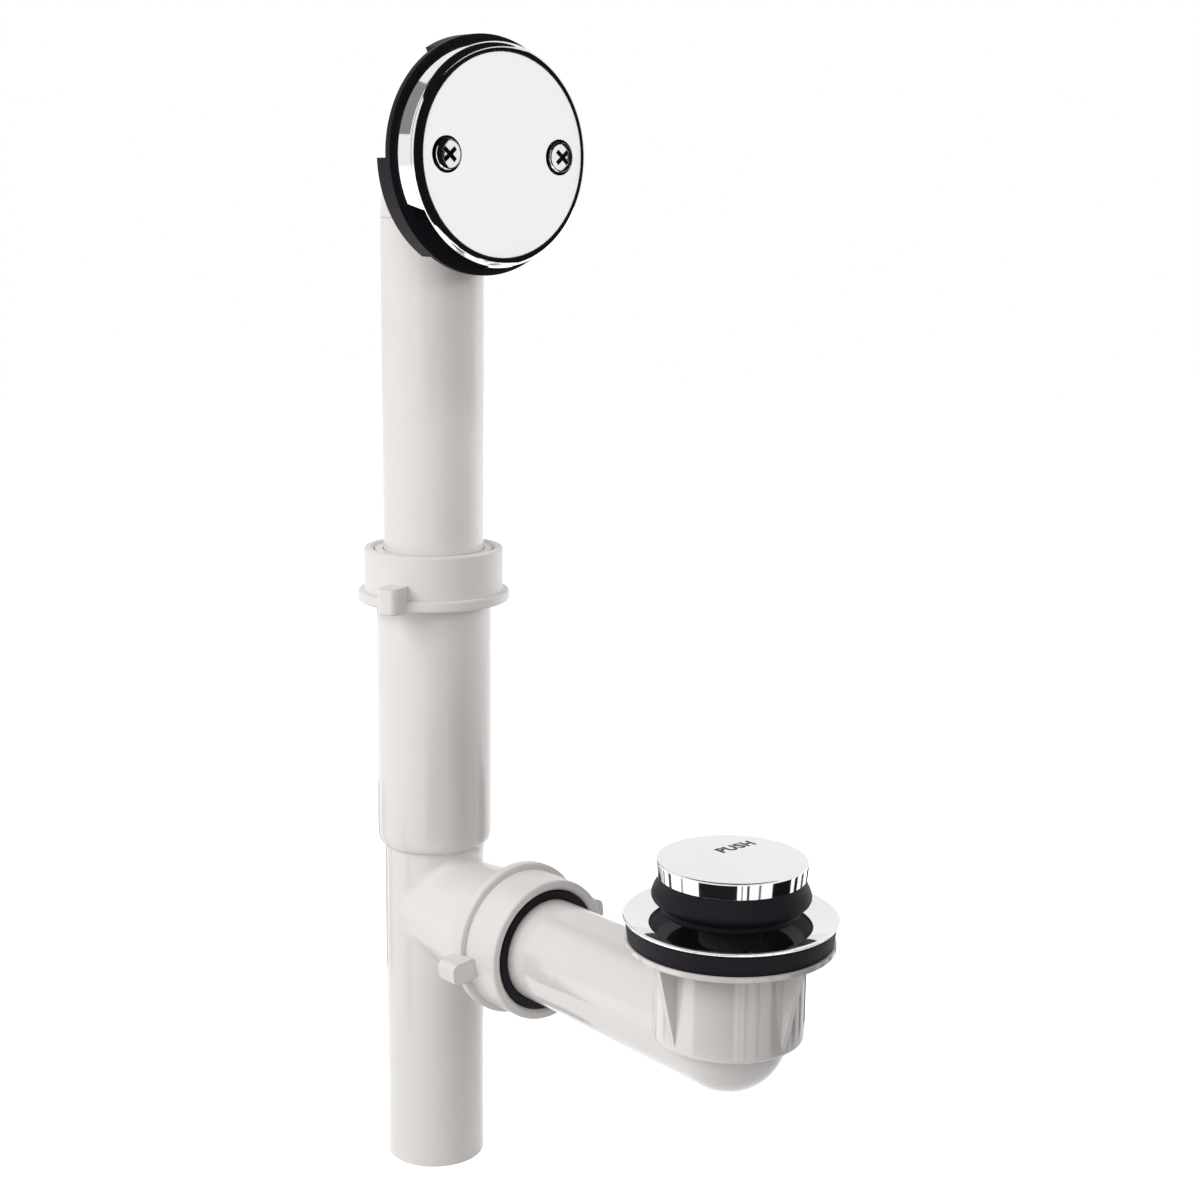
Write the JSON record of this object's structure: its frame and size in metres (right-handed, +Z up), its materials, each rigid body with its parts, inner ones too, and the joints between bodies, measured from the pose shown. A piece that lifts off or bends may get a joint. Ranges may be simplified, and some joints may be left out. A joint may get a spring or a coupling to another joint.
{
  "type": "bath waste and overflow",
  "caption": "Bath waste and overflow: white tee and riser, round chrome overflow plate, drain shoe with a chrome flange and a raised push stopper.",
  "frame": {"origin": "centre of the outlet tail's lower end, on the riser's axis", "axes": "+Z up along the riser; +X from the riser towards the drain and out of the overflow plate; +Y to the right as seen from the plate's front"},
  "size_m": [0.228, 0.0838, 0.4329],
  "materials": {
    "white_plastic": "moulded white PVC with a soft gloss",
    "rubber": "black moulded rubber",
    "chrome": "bright polished chrome",
    "brass": "plain turned brass",
    "steel": "plain stainless steel",
    "grey_plastic": "dark grey moulded plastic"
  },
  "bodies": {
    "tee": {"waste_tee": "white_plastic", "extension_socket": "white_plastic", "upper_slip_nut": "white_plastic", "lower_slip_nut": "white_plastic"},
    "upper_washer": {"upper_slip_washer": "white_plastic"},
    "overflow": {"riser_tube": "white_plastic", "overflow_elbow": "white_plastic", "insert_left": "brass", "insert_right": "brass", "overflow_gasket": "rubber", "overflow_plate": "chrome", "plate_screw_left": "chrome", "plate_screw_right": "chrome"},
    "lower_washer": {"lower_slip_washer": "rubber"},
    "drain": {"drain_shoe": "white_plastic", "drain_gasket": "rubber", "drain_body": "chrome", "stopper_post": "brass", "post_screw": "steel", "stopper_spring": "steel"},
    "stopper": {"stopper_plunger": "grey_plastic", "seal_retainer": "grey_plastic", "stopper_seal": "rubber", "stopper_cap": "chrome"},
    "rotor": {"stopper_rotor": "grey_plastic"}
  },
  "joints": [
    {"name": "riser_swivel", "type": "hinge", "parent": "tee", "child": "upper_washer", "pos_m": [0, 0, 0.2402], "axis": [0, 0, 1], "continuous": true},
    {"name": "riser_slide", "type": "slide", "parent": "upper_washer", "child": "overflow", "axis": [0, 0, 1], "range_m": [-0.028, 0.03]},
    {"name": "shoe_swivel", "type": "hinge", "parent": "tee", "child": "lower_washer", "pos_m": [0.0638, 0, 0.1046], "axis": [1, 0, 0], "continuous": true},
    {"name": "shoe_slide", "type": "slide", "parent": "lower_washer", "child": "drain", "axis": [1, 0, 0], "range_m": [-0.01, 0.015]},
    {"name": "stopper_press", "type": "slide", "parent": "drain", "child": "stopper", "axis": [0, 0, 1], "range_m": [-0.009, 0], "stiffness_N_per_m": 250, "springref_m": 0.012, "deforming": ["stopper_spring"]},
    {"name": "rotor_turn", "type": "hinge", "parent": "drain", "child": "rotor", "pos_m": [0.1633, 0, 0.1501], "axis": [0, 0, 1], "range_deg": [0, 90]}
  ],
  "couplings": [
    {"joint": "rotor_turn", "follows": "stopper_press", "rad_per_m": -174.53}
  ]
}
